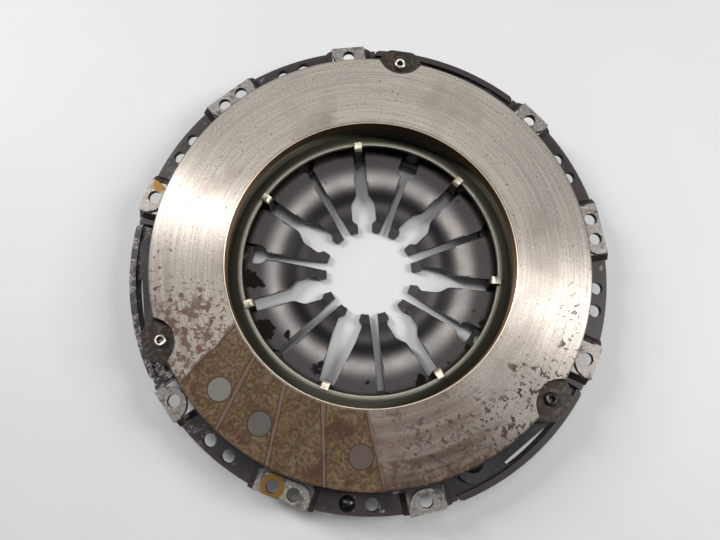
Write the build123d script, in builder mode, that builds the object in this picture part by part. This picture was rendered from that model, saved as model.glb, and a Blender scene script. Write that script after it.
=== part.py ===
from build123d import *
from math import cos, radians, sin, tan
import os

# Clutch pressure plate for a 240 mm driven plate: a pressed cover that bolts to the flywheel,
# a cast pressure plate, and the diaphragm spring that the cover's tabs hold between them.
# Millimetres. z = 0 is the lug face that meets the flywheel, +Z points at the flywheel,
# and the origin is the centre of the bolt circle.

# ---- cast pressure plate
face_outer_radius = 121.0
face_width = 41.1
face_height = 12.0
rim_thickness = 9.0
plate_thickness = 16.4
bore_depth = 9.0
under_bore_step = 8.1
plate_bead_width = 5.0
plate_bead_taper = 1.5
edge_chamfer = 0.8

# ---- ears of the pressure plate
station_count = 3
strap_middle_angle = 69.2
rivet_circle_inset = 0.2
rivet_half_angle = 12.4
ear_recess = 5.5
ear_thickness = 7.0
ear_reach = 9.7
ear_tip_half_width = 7.5
ear_root_half_width = 14.5
ear_corner_radius = 4.5
scallop_radius = 13.6
scallop_depth = 8.4

# ---- drive straps, three leaves to a strap
leaf_count = 3
leaf_thickness = 0.8
leaf_gap = 0.05
leaf_width = 20.6
leaf_end_overhang = 10.4
leaf_corner_radius = 8.5
leaf_flat_length = 8.5
strap_drop = 2.9

# ---- strap rivets
rivet_shank_radius = 3.0
rivet_fit = 0.05
rivet_head_radius = 6.3
rivet_head_height = 2.5
rivet_tip_radius = 3.5
rivet_tip_height = 2.9
rivet_bore_radius = 1.0
rivet_bore_depth = 4.5
rivet_rim_bevel = 0.6
cover_rivet_head_radius = 5.5
cover_rivet_head_height = 2.4
cover_rivet_edge_height = 0.8

# ---- diaphragm spring
spring_thickness = 2.8
spring_inset = 15.5
spring_cone_angle = 6.0
plate_bead_inset = 3.0
pivot_inset = 23.0
finger_tip_radius = 25.8
finger_bend_inset = 25.5
finger_bend_height = -16.7
finger_toe_radius = 37.0
finger_drop_angle = 16.2
finger_toe_angle = 4.7
bend_fillet = 30.0
toe_fillet = 18.0
finger_pair_count = 7
narrow_slot_angle = 18.0
narrow_slot_width = 4.2
narrow_slot_tip_width = 5.3
narrow_slot_flare_radius = 40.0
keyhole_radius = 5.7
keyhole_inset = 5.9
long_keyhole_length = 9.5
long_keyhole_pairs = (1, 3, 6)
wide_slot_width = 7.2
wide_slot_inset = 3.5
belly_width = 14.6
belly_inner_radius = 31.6
belly_outer_radius = 42.6
shoulder_outer_radius = 48.0
finger_head_length = 4.8
finger_head_gap = 8.7
pear_slot_index = 4
slot_fillet = 1.6
plate_seat_gap = 0.3

# ---- support ring: dished sheet ring between the tab hooks and the spring
seat_gap = 0.1
support_thickness = 2.8
support_lip_inset = 9.3
support_lip_height = -4.7
support_lip_width = 1.7
support_shoulder_width = 1.5
support_shoulder_drop = 0.75
support_slope_angle = 43.0
support_foot_width = 1.5
support_outer_width = 3.5
support_outer_rise = 1.0

# ---- bead of the cover under the spring, below the foot of the support ring
cover_bead_width = 4.4
cover_bead_crown = 1.4
cover_bead_height = 2.4

# ---- pressed cover
sheet = 3.5
opening_inset = 12.0
land_width = 4.0
land_step_length = 4.5
land_step_height = 5.0
wall_run = 9.1
flange_inset = 8.4
flange_overhang = 4.8
pad_drop = 3.0
bend_radius = 4.0
hole_radius = 3.6
hole_offset = 0.2

# ---- tabs of the cover that hook over the support ring
tab_width = 4.2
tab_thickness = 2.8
tab_lean = 2.1
tab_overlap = 1.1
tab_bend = 3.2
tab_root_length = 3.0
tab_side_angle = 0.5
tab_bevel_width = 1.4
tab_bevel_drop = 0.7

# ---- mounting lugs and pads
bolt_circle_offset = 9.0
bolt_hole_radius = 3.55
station_angle = 9.2
single_lug_offset = 33.5
twin_hole_half_angle = 2.6
single_lug_overhang = 6.0
twin_lug_overhang = 4.9
single_lug_half_width = 9.75
twin_lug_half_width = 15.0
lug_root_inset = 6.3
twin_lug_corner = 7.0
lug_end_flat = 0.05
ramp_length = 3.5
window_side_step = 1.0
window_depth = 9.0
window_floor = 7.0
window_corner = 2.5
pad_circle_inset = 1.0
pad_offset = 18.05
pad_hole_half_angle = 2.9

# ---- strap pockets in the cover
pocket_half_angle = 19.4
pocket_overhang = 6.2
pocket_wall_depth = 10.0
pocket_rim_drop = 4.0
pocket_step = 2.2
pocket_lap = 1.0
pocket_window_centre = 5.4
pocket_window_half_angle = 11.0
pocket_window_corner = 3.0
pocket_wall_round = 3.2
web_angle = 1.4
web_drop = 2.0

# ---- balance rivet, pressed into one pad hole
balance_station = 2
balance_head_radius = 4.4
balance_head_height = 2.4
balance_tail_radius = 4.6
balance_tail_height = 1.6
balance_fit = 0.03

# ---- sizes that follow from the ones above
station_pitch = 360 / station_count
pair_pitch = 360 / finger_pair_count
cone = tan(radians(spring_cone_angle))
face_inner_radius = face_outer_radius - face_width
under_bore_radius = face_inner_radius + under_bore_step
spring_outer_radius = face_outer_radius - spring_inset
plate_bead_radius = spring_outer_radius - plate_bead_inset
pivot_radius = spring_outer_radius - pivot_inset
finger_bend_radius = pivot_radius - finger_bend_inset
keyhole_circle_radius = pivot_radius - keyhole_inset
wide_slot_end_radius = pivot_radius - wide_slot_inset
hole_circle_radius = keyhole_circle_radius + hole_offset
support_inner_radius = pivot_radius - support_lip_inset
support_outer_radius = pivot_radius + support_outer_width
opening_radius = pivot_radius - opening_inset
tab_inner_radius = opening_radius - tab_lean
tab_end_radius = support_inner_radius + tab_overlap
land_outer_radius = pivot_radius + land_width
bolt_circle_radius = face_outer_radius + bolt_circle_offset
rivet_circle_radius = face_outer_radius - rivet_circle_inset
pad_circle_radius = bolt_circle_radius - pad_circle_inset
lug_inner_distance = bolt_circle_radius - lug_root_inset
single_lug_reach = bolt_circle_radius + single_lug_overhang
twin_lug_reach = bolt_circle_radius + twin_lug_overhang
flange_radius = bolt_circle_radius + flange_overhang
wall_top_radius = bolt_circle_radius - flange_inset
back_outer_radius = wall_top_radius - wall_run
pocket_reach = bolt_circle_radius + pocket_overhang
pocket_inner_radius = back_outer_radius - pocket_step
head_end = finger_tip_radius + finger_head_length
hook_height = support_lip_height + seat_gap
tab_top = hook_height + tab_thickness


def spring_top(radius):
    """Height of the spring's upper face where it is a plain cone."""
    return finger_bend_height + (radius - finger_bend_radius) * cone


spring_drop = spring_thickness / cos(radians(spring_cone_angle))
plate_bead_height = spring_top(plate_bead_radius + plate_bead_width / 2) + plate_seat_gap
cover_bead_top = spring_top(pivot_radius) - spring_drop - seat_gap - cover_bead_crown / 2 * cone
land_top = cover_bead_top - cover_bead_height
back_top = land_top - land_step_height
pad_top = -pad_drop
ear_top = face_height - ear_recess
ear_bottom = ear_top - ear_thickness
strap_top = ear_bottom - leaf_gap
leaf_pitch = leaf_thickness + leaf_gap
strap_pack = leaf_count * leaf_pitch
seat_top = strap_top - strap_pack - strap_drop
seat_bottom = seat_top - sheet
pocket_wall_top = -pocket_rim_drop
rivet_distance = rivet_circle_radius * cos(radians(rivet_half_angle))
rivet_offset = rivet_circle_radius * sin(radians(rivet_half_angle))
rim_inner = pocket_reach - sheet
window_inner = pocket_inner_radius - pocket_lap
pocket_foot = back_top - sheet / 2
flange_cut = pad_drop + 2 * sheet
clear = 400.0


def flat_plane(angle, height):
    """Horizontal plane whose x runs outwards along the angle."""
    along = radians(angle)
    return Plane(origin=(0, 0, height), x_dir=(cos(along), sin(along), 0), z_dir=(0, 0, 1))


def section_plane(angle, radius=0.0):
    """Upright plane through the axis: x runs outwards and y runs up."""
    along = radians(angle)
    origin = (radius * cos(along), radius * sin(along), 0)
    return Plane(origin=origin, x_dir=(cos(along), sin(along), 0), z_dir=(sin(along), -cos(along), 0))


def tangent_plane(angle, radius):
    """Upright plane square to the radius: x runs anticlockwise and y runs up."""
    along = radians(angle)
    origin = (radius * cos(along), radius * sin(along), 0)
    return Plane(origin=origin, x_dir=(-sin(along), cos(along), 0), z_dir=(cos(along), sin(along), 0))


def polar_axis(radius, angle):
    """Vertical axis of a hole or rivet."""
    along = radians(angle)
    return Axis((radius * cos(along), radius * sin(along), 0), (0, 0, 1))


def station_angles(offset):
    """The same angle at each of the three stations."""
    return [offset + station_pitch * k for k in range(station_count)]


ear_angles = station_angles(strap_middle_angle + rivet_half_angle)
seat_angles = station_angles(strap_middle_angle - rivet_half_angle)
strap_angles = station_angles(strap_middle_angle)
twin_lug_angles = station_angles(station_angle)
single_lug_angles = station_angles(station_angle + single_lug_offset)
single_lug_angles += station_angles(station_angle - single_lug_offset)
pad_hole_angles = []
for side in (-1, 1):
    for twin in (-1, 1):
        pad_hole_angles += station_angles(station_angle + side * pad_offset + twin * pad_hole_half_angle)
bolt_hole_angles = single_lug_angles + station_angles(station_angle - twin_hole_half_angle)
bolt_hole_angles += station_angles(station_angle + twin_hole_half_angle)
narrow_slot_angles = [narrow_slot_angle + pair_pitch * k for k in range(finger_pair_count)]
wide_slot_angles = [narrow_slot_angle + pair_pitch * (k + 0.5) for k in range(finger_pair_count)]
tab_angles = [angle + tab_side_angle for angle in wide_slot_angles]


def drill(radius, angles, hole, top, depth):
    """Round holes straight down through whatever the current part has there."""
    with BuildSketch(Plane.XY.offset(top)) as mouths:
        for angle in angles:
            with PolarLocations(radius, 1, start_angle=angle):
                Circle(hole)
    extrude(mouths.sketch, amount=-depth, mode=Mode.SUBTRACT)


def repeated(outline, angles, height=0.0):
    """The same flat outline turned to each angle, on a level plane."""
    with BuildSketch(Plane.XY.offset(height)) as copies:
        for angle in angles:
            add(outline.rotate(Axis.Z, angle))
    return copies.sketch


# ---- pressure plate: turned ring with a fulcrum bead below and three riveting ears
with BuildPart() as pressure_plate:
    with BuildSketch(Plane.XZ):
        with BuildLine():
            rim_bottom = face_height - rim_thickness
            body_bottom = face_height - plate_thickness
            bead_inner = plate_bead_radius - plate_bead_width / 2
            bead_outer = plate_bead_radius + plate_bead_width / 2
            Polyline(
                (face_inner_radius, face_height),
                (face_outer_radius, face_height),
                (face_outer_radius, rim_bottom),
                (bead_outer + plate_bead_taper, rim_bottom),
                (bead_outer, plate_bead_height),
                (bead_inner, plate_bead_height),
                (bead_inner - plate_bead_taper, body_bottom),
                (under_bore_radius, body_bottom),
                (face_inner_radius, face_height - bore_depth),
                close=True,
            )
        make_face()
    revolve(axis=Axis.Z)
    for angle in ear_angles:
        with BuildSketch(flat_plane(angle, ear_top)):
            with BuildLine():
                ear_tip = rivet_circle_radius + ear_reach
                ear_root = rivet_circle_radius - scallop_depth
                Polyline(
                    (ear_root, -ear_root_half_width),
                    (face_outer_radius, -ear_root_half_width),
                    (ear_tip, -ear_tip_half_width),
                    (ear_tip, ear_tip_half_width),
                    (face_outer_radius, ear_root_half_width),
                    (ear_root, ear_root_half_width),
                    close=True,
                )
            make_face()
            fillet(vertices().sort_by(Axis.X)[-2:], ear_corner_radius)
        extrude(amount=-ear_thickness)
        with BuildSketch(flat_plane(angle, ear_top)):
            with Locations((rivet_circle_radius - scallop_depth + scallop_radius, 0)):
                Circle(scallop_radius)
        extrude(amount=clear, mode=Mode.SUBTRACT)
    drill(rivet_circle_radius, ear_angles, rivet_shank_radius + rivet_fit, ear_top, ear_thickness)
    face_rims = edges().filter_by(GeomType.CIRCLE).group_by(Axis.Z)[-1]
    chamfer(face_rims.filter_by(lambda edge: edge.radius > scallop_radius + edge_chamfer), edge_chamfer)
pressure_plate.part.label = "pressure_plate"


def wide_slot(shoulder):
    """Plan of the gap between two finger pairs: narrow at the heads, bellied, then parallel."""
    with BuildSketch() as gap:
        with BuildLine():
            half_outline = [
                (0, finger_head_gap / 2),
                (head_end, finger_head_gap / 2),
                (belly_inner_radius, belly_width / 2),
                (belly_outer_radius, belly_width / 2),
                *shoulder,
                (wide_slot_end_radius, wide_slot_width / 2),
            ]
            Polyline(*half_outline, *[(x, -y) for x, y in reversed(half_outline)], close=True)
        make_face()
        fillet(vertices().filter_by(lambda corner: corner.X > finger_tip_radius), slot_fillet)
    return gap.sketch


def keyhole_slot(keyhole_length):
    """Plan of the slot inside a finger pair, ending in a round or a long keyhole."""
    with BuildSketch() as gap:
        with BuildLine():
            half_outline = [
                (0, narrow_slot_tip_width / 2),
                (finger_tip_radius, narrow_slot_tip_width / 2),
                (narrow_slot_flare_radius, narrow_slot_width / 2),
                (keyhole_circle_radius, narrow_slot_width / 2),
            ]
            Polyline(*half_outline, *[(x, -y) for x, y in reversed(half_outline)], close=True)
        make_face()
        with Locations((keyhole_circle_radius, 0)):
            Circle(keyhole_radius)
        if keyhole_length:
            with Locations((keyhole_circle_radius - keyhole_length / 2, 0)):
                SlotCenterToCenter(keyhole_length, 2 * keyhole_radius)
    return gap.sketch


# ---- diaphragm spring: one coned disc, slotted into seven pairs of fingers
with BuildPart() as diaphragm_spring:
    with BuildSketch(Plane.XZ):
        with BuildLine():
            bend_height = spring_top(finger_bend_radius)
            toe_drop = (finger_bend_radius - finger_toe_radius) * tan(radians(finger_drop_angle))
            tip_drop = (finger_toe_radius - finger_tip_radius) * tan(radians(finger_toe_angle))
            toe_height = bend_height - toe_drop
            tip_height = toe_height - tip_drop
            spring_face = FilletPolyline(
                (spring_outer_radius, spring_top(spring_outer_radius)),
                (finger_bend_radius, bend_height),
                (finger_toe_radius, toe_height),
                (finger_tip_radius, tip_height),
                radius=(bend_fillet, toe_fillet),
            )
            offset(spring_face, amount=spring_thickness, side=Side.LEFT)
        make_face()
    revolve(axis=Axis.Z)
    pear_angle = wide_slot_angles[pear_slot_index]
    plain_angles = [angle for angle in wide_slot_angles if angle != pear_angle]
    long_angles = [narrow_slot_angles[index] for index in long_keyhole_pairs]
    short_angles = [angle for angle in narrow_slot_angles if angle not in long_angles]
    for outline, angles in (
        (wide_slot([(shoulder_outer_radius, wide_slot_width / 2)]), plain_angles),
        (wide_slot([]), [pear_angle]),
        (keyhole_slot(0), short_angles),
        (keyhole_slot(long_keyhole_length), long_angles),
    ):
        extrude(repeated(outline, angles), amount=clear, both=True, mode=Mode.SUBTRACT)
diaphragm_spring.part.label = "diaphragm_spring"

# ---- support ring: its lip sits under the tab hooks and its foot bears on the spring
with BuildPart() as support_ring:
    with BuildSketch(Plane.XZ):
        with BuildLine():
            lip_end = support_inner_radius + support_lip_width
            shoulder_end = lip_end + support_shoulder_width
            shoulder_height = support_lip_height - support_shoulder_drop
            foot_height = spring_top(support_outer_radius) + seat_gap + support_thickness
            slope_run = (shoulder_height - foot_height) / tan(radians(support_slope_angle))
            support_face = Polyline(
                (support_inner_radius, support_lip_height),
                (lip_end, support_lip_height),
                (shoulder_end, shoulder_height),
                (shoulder_end + slope_run, foot_height),
                (pivot_radius + support_foot_width, foot_height),
                (support_outer_radius, foot_height + support_outer_rise),
            )
            offset(support_face, amount=support_thickness, side=Side.RIGHT, kind=Kind.INTERSECTION)
        make_face()
    revolve(axis=Axis.Z)
support_ring.part.label = "support_ring"


def lug_outline(half_width, reach, inner_corner):
    """Plan of a lug's flat face: straight outer edge and rounded inner end."""
    with Locations(((lug_inner_distance + reach) / 2, 0)):
        face = Rectangle(reach - lug_inner_distance, 2 * half_width)
    fillet(vertices().sort_by(Axis.X)[:2], inner_corner)
    return face


def lug_gap(half_width):
    """Plan of the flange that a lug and its two ramps replace."""
    with BuildSketch() as gap:
        with Locations(((lug_inner_distance + clear) / 2, 0)):
            Rectangle(clear - lug_inner_distance, 2 * (half_width + ramp_length))
    return gap.sketch


def lug_window(half_width):
    """Plan of the relief window at a lug's inner end."""
    with BuildSketch() as window:
        with Locations((lug_inner_distance, 0)):
            Rectangle(2 * window_depth, 2 * (half_width - window_side_step))
        fillet(vertices().sort_by(Axis.X)[:2], window_corner)
    return window.sketch


def lug(half_width, reach, inner_corner):
    """One lug raised out of the flange, with a ramp down each side."""
    root = half_width + ramp_length
    with BuildPart(mode=Mode.PRIVATE) as raised:
        with BuildSketch(Plane.YZ.offset(lug_inner_distance)):
            with BuildLine():
                Polyline(
                    (-root, -pad_drop),
                    (-half_width, 0),
                    (half_width, 0),
                    (root, -pad_drop),
                    (root, -pad_drop - sheet),
                    (half_width, -sheet),
                    (-half_width, -sheet),
                    (-root, -pad_drop - sheet),
                    close=True,
                )
            make_face()
        extrude(amount=reach - lug_inner_distance)
        with BuildSketch():
            lug_outline(half_width, reach, inner_corner)
            for side in (-1, 1):
                ramp_middle = side * (half_width + ramp_length / 2)
                with Locations(((lug_inner_distance + flange_radius) / 2, ramp_middle)):
                    Rectangle(flange_radius - lug_inner_distance, ramp_length)
        extrude(amount=-pad_drop - sheet, mode=Mode.INTERSECT)
    return raised.part


def pocket_gap():
    """What a strap pocket replaces: everything of the dished sheet above its back."""
    with BuildPart(mode=Mode.PRIVATE) as gap:
        with BuildSketch(section_plane(-pocket_half_angle)):
            with Locations(((pocket_inner_radius + clear) / 2, (back_top + clear) / 2)):
                Rectangle(clear - pocket_inner_radius, clear - back_top)
        revolve(axis=Axis.Z, revolution_arc=2 * pocket_half_angle)
    return gap.part


def strap_pocket():
    """One strap pocket: inner wall, seat floor, outer wall, and a web at each end."""
    with BuildPart(mode=Mode.PRIVATE) as pocket:
        with BuildSketch(section_plane(-pocket_half_angle)):
            with BuildLine():
                Polyline(
                    (pocket_inner_radius, pocket_foot),
                    (pocket_inner_radius, seat_top),
                    (rim_inner, seat_top),
                    (rim_inner, pocket_wall_top),
                    (pocket_reach, pocket_wall_top),
                    (pocket_reach, pocket_wall_top - pocket_wall_depth),
                    (rim_inner, pocket_wall_top - pocket_wall_depth),
                    (rim_inner, seat_bottom),
                    (pocket_inner_radius + sheet, seat_bottom),
                    (pocket_inner_radius + sheet, pocket_foot),
                    close=True,
                )
            make_face()
        revolve(axis=Axis.Z, revolution_arc=2 * pocket_half_angle)
        fillet(edges().filter_by(Axis.Z).sort_by_distance((0, 0, 0))[-2:], pocket_wall_round)
        for web_start in (-pocket_half_angle, pocket_half_angle - web_angle):
            with BuildSketch(section_plane(web_start)):
                with BuildLine():
                    Polyline(
                        (pocket_inner_radius, pocket_foot),
                        (back_outer_radius, pocket_foot),
                        (wall_top_radius, pad_top - sheet),
                        (wall_top_radius, pad_top - web_drop),
                        (pocket_inner_radius, pad_top - web_drop),
                        close=True,
                    )
                make_face()
            revolve(axis=Axis.Z, revolution_arc=web_angle)
    return pocket.part


def pocket_window():
    """Plan of the opening in a strap pocket's floor, beside the seat."""
    with BuildSketch() as window:
        with BuildLine():
            half = pocket_window_half_angle
            outer_arc = CenterArc((0, 0), rim_inner, -half, 2 * half)
            inner_arc = CenterArc((0, 0), window_inner, -half, 2 * half)
            Line(outer_arc @ 0, inner_arc @ 0)
            Line(outer_arc @ 1, inner_arc @ 1)
        make_face()
        fillet(vertices().sort_by(Axis.X)[-2:], pocket_window_corner)
    return window.sketch


def hook_tab():
    """One tab: up from the edge of the opening, then outwards over the support ring's lip."""
    with BuildPart(mode=Mode.PRIVATE) as tab:
        with BuildSketch(Plane.XZ):
            with BuildLine():
                tab_face = FilletPolyline(
                    (opening_radius + tab_root_length, land_top - sheet),
                    (opening_radius, land_top - sheet),
                    (tab_inner_radius, tab_top),
                    (tab_end_radius, tab_top),
                    radius=tab_bend,
                )
                offset(tab_face, amount=tab_thickness, side=Side.RIGHT)
            make_face()
        extrude(amount=tab_width / 2, both=True)
        with BuildSketch(Plane.YZ.offset(tab_inner_radius)):
            with BuildLine():
                Polyline(
                    (tab_width / 2 - tab_bevel_width, tab_top),
                    (tab_width / 2, tab_top),
                    (tab_width / 2, tab_top - tab_bevel_drop),
                    close=True,
                )
            make_face()
        extrude(amount=tab_end_radius - tab_inner_radius, mode=Mode.SUBTRACT)
    return tab.part


# ---- cover: one sheet, dished, with lugs, pads, strap pockets, windows and tabs
with BuildPart() as cover:
    with BuildSketch(Plane.XZ):
        with BuildLine():
            land = Polyline(
                (opening_radius, land_top),
                (land_outer_radius, land_top),
                (land_outer_radius + land_step_length, back_top),
            )
            wall = FilletPolyline(
                land @ 1,
                (back_outer_radius, back_top),
                (wall_top_radius, pad_top),
                radius=bend_radius,
            )
            Line(wall @ 1, (flange_radius, pad_top))
            offset(amount=sheet, side=Side.RIGHT, kind=Kind.INTERSECTION)
        make_face()
    revolve(axis=Axis.Z)
    for sink, mode in ((0, Mode.ADD), (sheet, Mode.SUBTRACT)):
        with BuildSketch(Plane.XZ):
            with BuildLine():
                Polyline(
                    (pivot_radius - cover_bead_width / 2, land_top - sink),
                    (pivot_radius - cover_bead_crown / 2, cover_bead_top - sink),
                    (pivot_radius + cover_bead_crown / 2, cover_bead_top - sink),
                    (pivot_radius + cover_bead_width / 2, land_top - sink),
                    close=True,
                )
            make_face()
        revolve(axis=Axis.Z, mode=mode)
    gap = pocket_gap()
    pocket = strap_pocket()
    for angle in strap_angles:
        add(gap.rotate(Axis.Z, angle), mode=Mode.SUBTRACT)
        add(pocket.rotate(Axis.Z, angle))
    window_middles = station_angles(strap_middle_angle + pocket_window_centre)
    extrude(repeated(pocket_window(), window_middles, seat_bottom), amount=clear, mode=Mode.SUBTRACT)
    for half_width, reach, inner_corner, angles in (
        (single_lug_half_width, single_lug_reach, single_lug_half_width - lug_end_flat, single_lug_angles),
        (twin_lug_half_width, twin_lug_reach, twin_lug_corner, twin_lug_angles),
    ):
        extrude(repeated(lug_gap(half_width), angles), amount=-flange_cut, mode=Mode.SUBTRACT)
        extrude(repeated(lug_window(half_width), angles), amount=-pad_drop - window_floor, mode=Mode.SUBTRACT)
        raised_lug = lug(half_width, reach, inner_corner)
        for angle in angles:
            add(raised_lug.rotate(Axis.Z, angle))
    tab = hook_tab()
    for angle in tab_angles:
        add(tab.rotate(Axis.Z, angle))
    drill(bolt_circle_radius, bolt_hole_angles, bolt_hole_radius, 0, sheet)
    drill(pad_circle_radius, pad_hole_angles, bolt_hole_radius, 0, pad_drop + sheet)
    drill(rivet_circle_radius, seat_angles, rivet_shank_radius + rivet_fit, seat_top, sheet)
    drill(hole_circle_radius, long_angles, hole_radius, land_top, sheet)
cover.part.label = "cover"
pieces = [cover, pressure_plate, diaphragm_spring, support_ring]

# ---- drive straps: three spring-steel leaves each, from an ear down to a seat in the cover
for strap_number, angle in enumerate(strap_angles, start=1):
    for leaf_number in range(leaf_count):
        leaf_top = strap_top - leaf_number * leaf_pitch
        leaf_end = rivet_offset + leaf_end_overhang
        bend = rivet_offset - leaf_flat_length
        leaf_line = [(-leaf_end, -strap_drop), (-bend, -strap_drop), (bend, 0), (leaf_end, 0)]
        with BuildPart() as leaf:
            with BuildSketch(tangent_plane(angle, rivet_distance)):
                with BuildLine():
                    upper = [(x, leaf_top + rise) for x, rise in leaf_line]
                    lower = [(x, leaf_top + rise - leaf_thickness) for x, rise in leaf_line]
                    Polyline(*upper, *reversed(lower), close=True)
                make_face()
            extrude(amount=leaf_width / 2, both=True)
            fillet(edges().filter_by(Axis.Z), leaf_corner_radius)
            rivet_angles = (angle - rivet_half_angle, angle + rivet_half_angle)
            drill(rivet_circle_radius, rivet_angles, rivet_shank_radius + rivet_fit, 0, clear)
        leaf.part.label = f"drive_strap_{strap_number}_leaf_{leaf_number + 1}"
        pieces.append(leaf)

# ---- ear rivets: hollow-ended, head below the strap and rolled end on the ear
pack_bottom = strap_top - strap_pack
for number, angle in enumerate(ear_angles, start=1):
    with BuildPart() as ear_rivet:
        with BuildSketch(section_plane(angle, rivet_circle_radius)):
            with BuildLine():
                rivet_end = ear_top + rivet_tip_height
                Polyline(
                    (0, rivet_end - rivet_bore_depth),
                    (rivet_bore_radius, rivet_end - rivet_bore_depth),
                    (rivet_bore_radius, rivet_end),
                    (rivet_tip_radius, rivet_end),
                    (rivet_tip_radius, ear_top),
                    (rivet_shank_radius, ear_top),
                    (rivet_shank_radius, pack_bottom),
                    (rivet_head_radius, pack_bottom),
                    (rivet_head_radius, pack_bottom - rivet_head_height),
                    (0, pack_bottom - rivet_head_height),
                    close=True,
                )
            make_face()
        revolve(axis=polar_axis(rivet_circle_radius, angle))
        rims = edges().filter_by(GeomType.CIRCLE)
        outer_rims = rims.filter_by(lambda edge: edge.radius > rivet_shank_radius).sort_by(Axis.Z)
        chamfer([outer_rims[0], outer_rims[-1]], rivet_rim_bevel)
    ear_rivet.part.label = f"ear_rivet_{number}"
    pieces.append(ear_rivet)

# ---- seat rivets: hold the strap's other end on the cover
for number, angle in enumerate(seat_angles, start=1):
    with BuildPart() as seat_rivet:
        with BuildSketch(section_plane(angle, rivet_circle_radius)):
            with BuildLine():
                head_seat = strap_top - strap_drop + leaf_gap
                Polyline(
                    (0, seat_bottom - cover_rivet_head_height),
                    (0, head_seat + cover_rivet_head_height),
                    (rivet_shank_radius, head_seat + cover_rivet_head_height),
                    (cover_rivet_head_radius, head_seat + cover_rivet_edge_height),
                    (cover_rivet_head_radius, head_seat),
                    (rivet_shank_radius, head_seat),
                    (rivet_shank_radius, seat_bottom),
                    (cover_rivet_head_radius, seat_bottom),
                    (cover_rivet_head_radius, seat_bottom - cover_rivet_head_height),
                    close=True,
                )
            make_face()
        revolve(axis=polar_axis(rivet_circle_radius, angle))
    seat_rivet.part.label = f"seat_rivet_{number}"
    pieces.append(seat_rivet)

# ---- balance rivet: domed head, pressed into one pad hole to balance the assembly
balance_angle = station_angle + balance_station * station_pitch + pad_offset - pad_hole_half_angle
with BuildPart() as balance_rivet:
    with BuildSketch(section_plane(balance_angle, pad_circle_radius)):
        with BuildLine():
            pad_bottom = pad_top - sheet
            balance_top = pad_top + balance_head_height
            Polyline(
                (balance_head_radius, pad_top),
                (bolt_hole_radius - balance_fit, pad_top),
                (bolt_hole_radius - balance_fit, pad_bottom),
                (balance_tail_radius, pad_bottom),
                (balance_tail_radius, pad_bottom - balance_tail_height),
                (0, pad_bottom - balance_tail_height),
                (0, balance_top),
            )
            TangentArc((0, balance_top), (balance_head_radius, pad_top), tangent=(1, 0))
        make_face()
    revolve(axis=polar_axis(pad_circle_radius, balance_angle))
balance_rivet.part.label = "balance_rivet"
pieces.append(balance_rivet)

os.makedirs("parts", exist_ok=True)
for piece in pieces:
    export_step(piece.part, f"parts/{piece.part.label}.step")
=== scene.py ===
from math import cos, pi, radians, sin, tan
import bpy
from mathutils import Matrix, Vector


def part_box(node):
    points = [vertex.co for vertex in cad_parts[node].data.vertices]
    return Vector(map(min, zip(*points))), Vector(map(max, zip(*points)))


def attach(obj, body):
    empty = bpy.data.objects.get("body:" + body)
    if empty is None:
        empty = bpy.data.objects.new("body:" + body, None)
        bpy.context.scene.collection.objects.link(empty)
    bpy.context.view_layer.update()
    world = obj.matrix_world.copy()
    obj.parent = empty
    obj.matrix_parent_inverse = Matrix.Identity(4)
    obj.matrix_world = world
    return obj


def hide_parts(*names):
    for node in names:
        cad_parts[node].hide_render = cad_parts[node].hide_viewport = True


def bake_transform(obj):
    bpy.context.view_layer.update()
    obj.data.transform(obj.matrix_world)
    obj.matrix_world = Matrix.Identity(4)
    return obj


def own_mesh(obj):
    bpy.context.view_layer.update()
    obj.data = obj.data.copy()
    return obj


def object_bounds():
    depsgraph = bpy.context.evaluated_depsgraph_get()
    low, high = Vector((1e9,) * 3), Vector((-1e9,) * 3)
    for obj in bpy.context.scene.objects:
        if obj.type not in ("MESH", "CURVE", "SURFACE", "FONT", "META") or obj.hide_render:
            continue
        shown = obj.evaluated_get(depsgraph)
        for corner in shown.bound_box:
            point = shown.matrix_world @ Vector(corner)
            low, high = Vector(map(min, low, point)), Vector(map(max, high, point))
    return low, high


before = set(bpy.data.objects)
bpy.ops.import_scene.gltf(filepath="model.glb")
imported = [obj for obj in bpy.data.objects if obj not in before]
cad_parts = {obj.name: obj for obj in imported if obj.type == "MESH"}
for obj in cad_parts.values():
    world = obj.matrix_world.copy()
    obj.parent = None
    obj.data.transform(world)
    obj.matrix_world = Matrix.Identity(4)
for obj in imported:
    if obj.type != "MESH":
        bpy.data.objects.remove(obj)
cad_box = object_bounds()

# ---- camera: held by hand a little below the centre and looking almost straight down, with a
# normal lens, level with the long side of the frame. Colours come out without a tone curve.
bpy.ops.object.camera_add()
camera = bpy.context.object
camera.data.sensor_width = 36.0
camera.data.lens = 29.67
camera_right = Vector((0.99985, 0.0, 0.01723))
camera_up = Vector((-0.00368, 0.97687, 0.21381))
camera_back = Vector((-0.01683, -0.21385, 0.97672))
camera_place = Vector((-0.01164, -0.07537, 0.32593))
camera_turn = Matrix((camera_right, camera_up, camera_back)).transposed().to_4x4()
camera.matrix_world = Matrix.Translation(camera_place) @ camera_turn
bpy.context.scene.camera = camera
bpy.context.scene.view_settings.view_transform = "Standard"

# ---- studio light: a square softbox overhead, a broad weak panel behind and another in front,
# and a slim upright panel to each side, which round marks on metal mirror in two opposite sectors
# only. Places and sizes are in metres and power in watts.
for name, place, width, height, power in (
    ("overhead_softbox", (0.0, 0.25, 1.15), 0.32, 0.32, 5.6),
    ("rear_panel", (0.0, 1.05, 0.9), 1.3, 0.6, 2.6),
    ("front_panel", (0.0, -0.4, 1.1), 0.9, 0.6, 1.0),
    ("left_panel", (-0.77, 0.47, 0.79), 0.17, 0.6, 17.0),
    ("right_panel", (0.85, 0.03, 0.84), 0.3, 0.6, 17.0),
):
    bpy.ops.object.light_add(type="AREA", location=place)
    panel = bpy.context.object
    panel.name = name
    panel.data.shape = "RECTANGLE"
    panel.data.size = width
    panel.data.size_y = height
    panel.data.energy = power
    panel.rotation_euler = Vector(place).to_track_quat("Z", "Y").to_euler()


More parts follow.
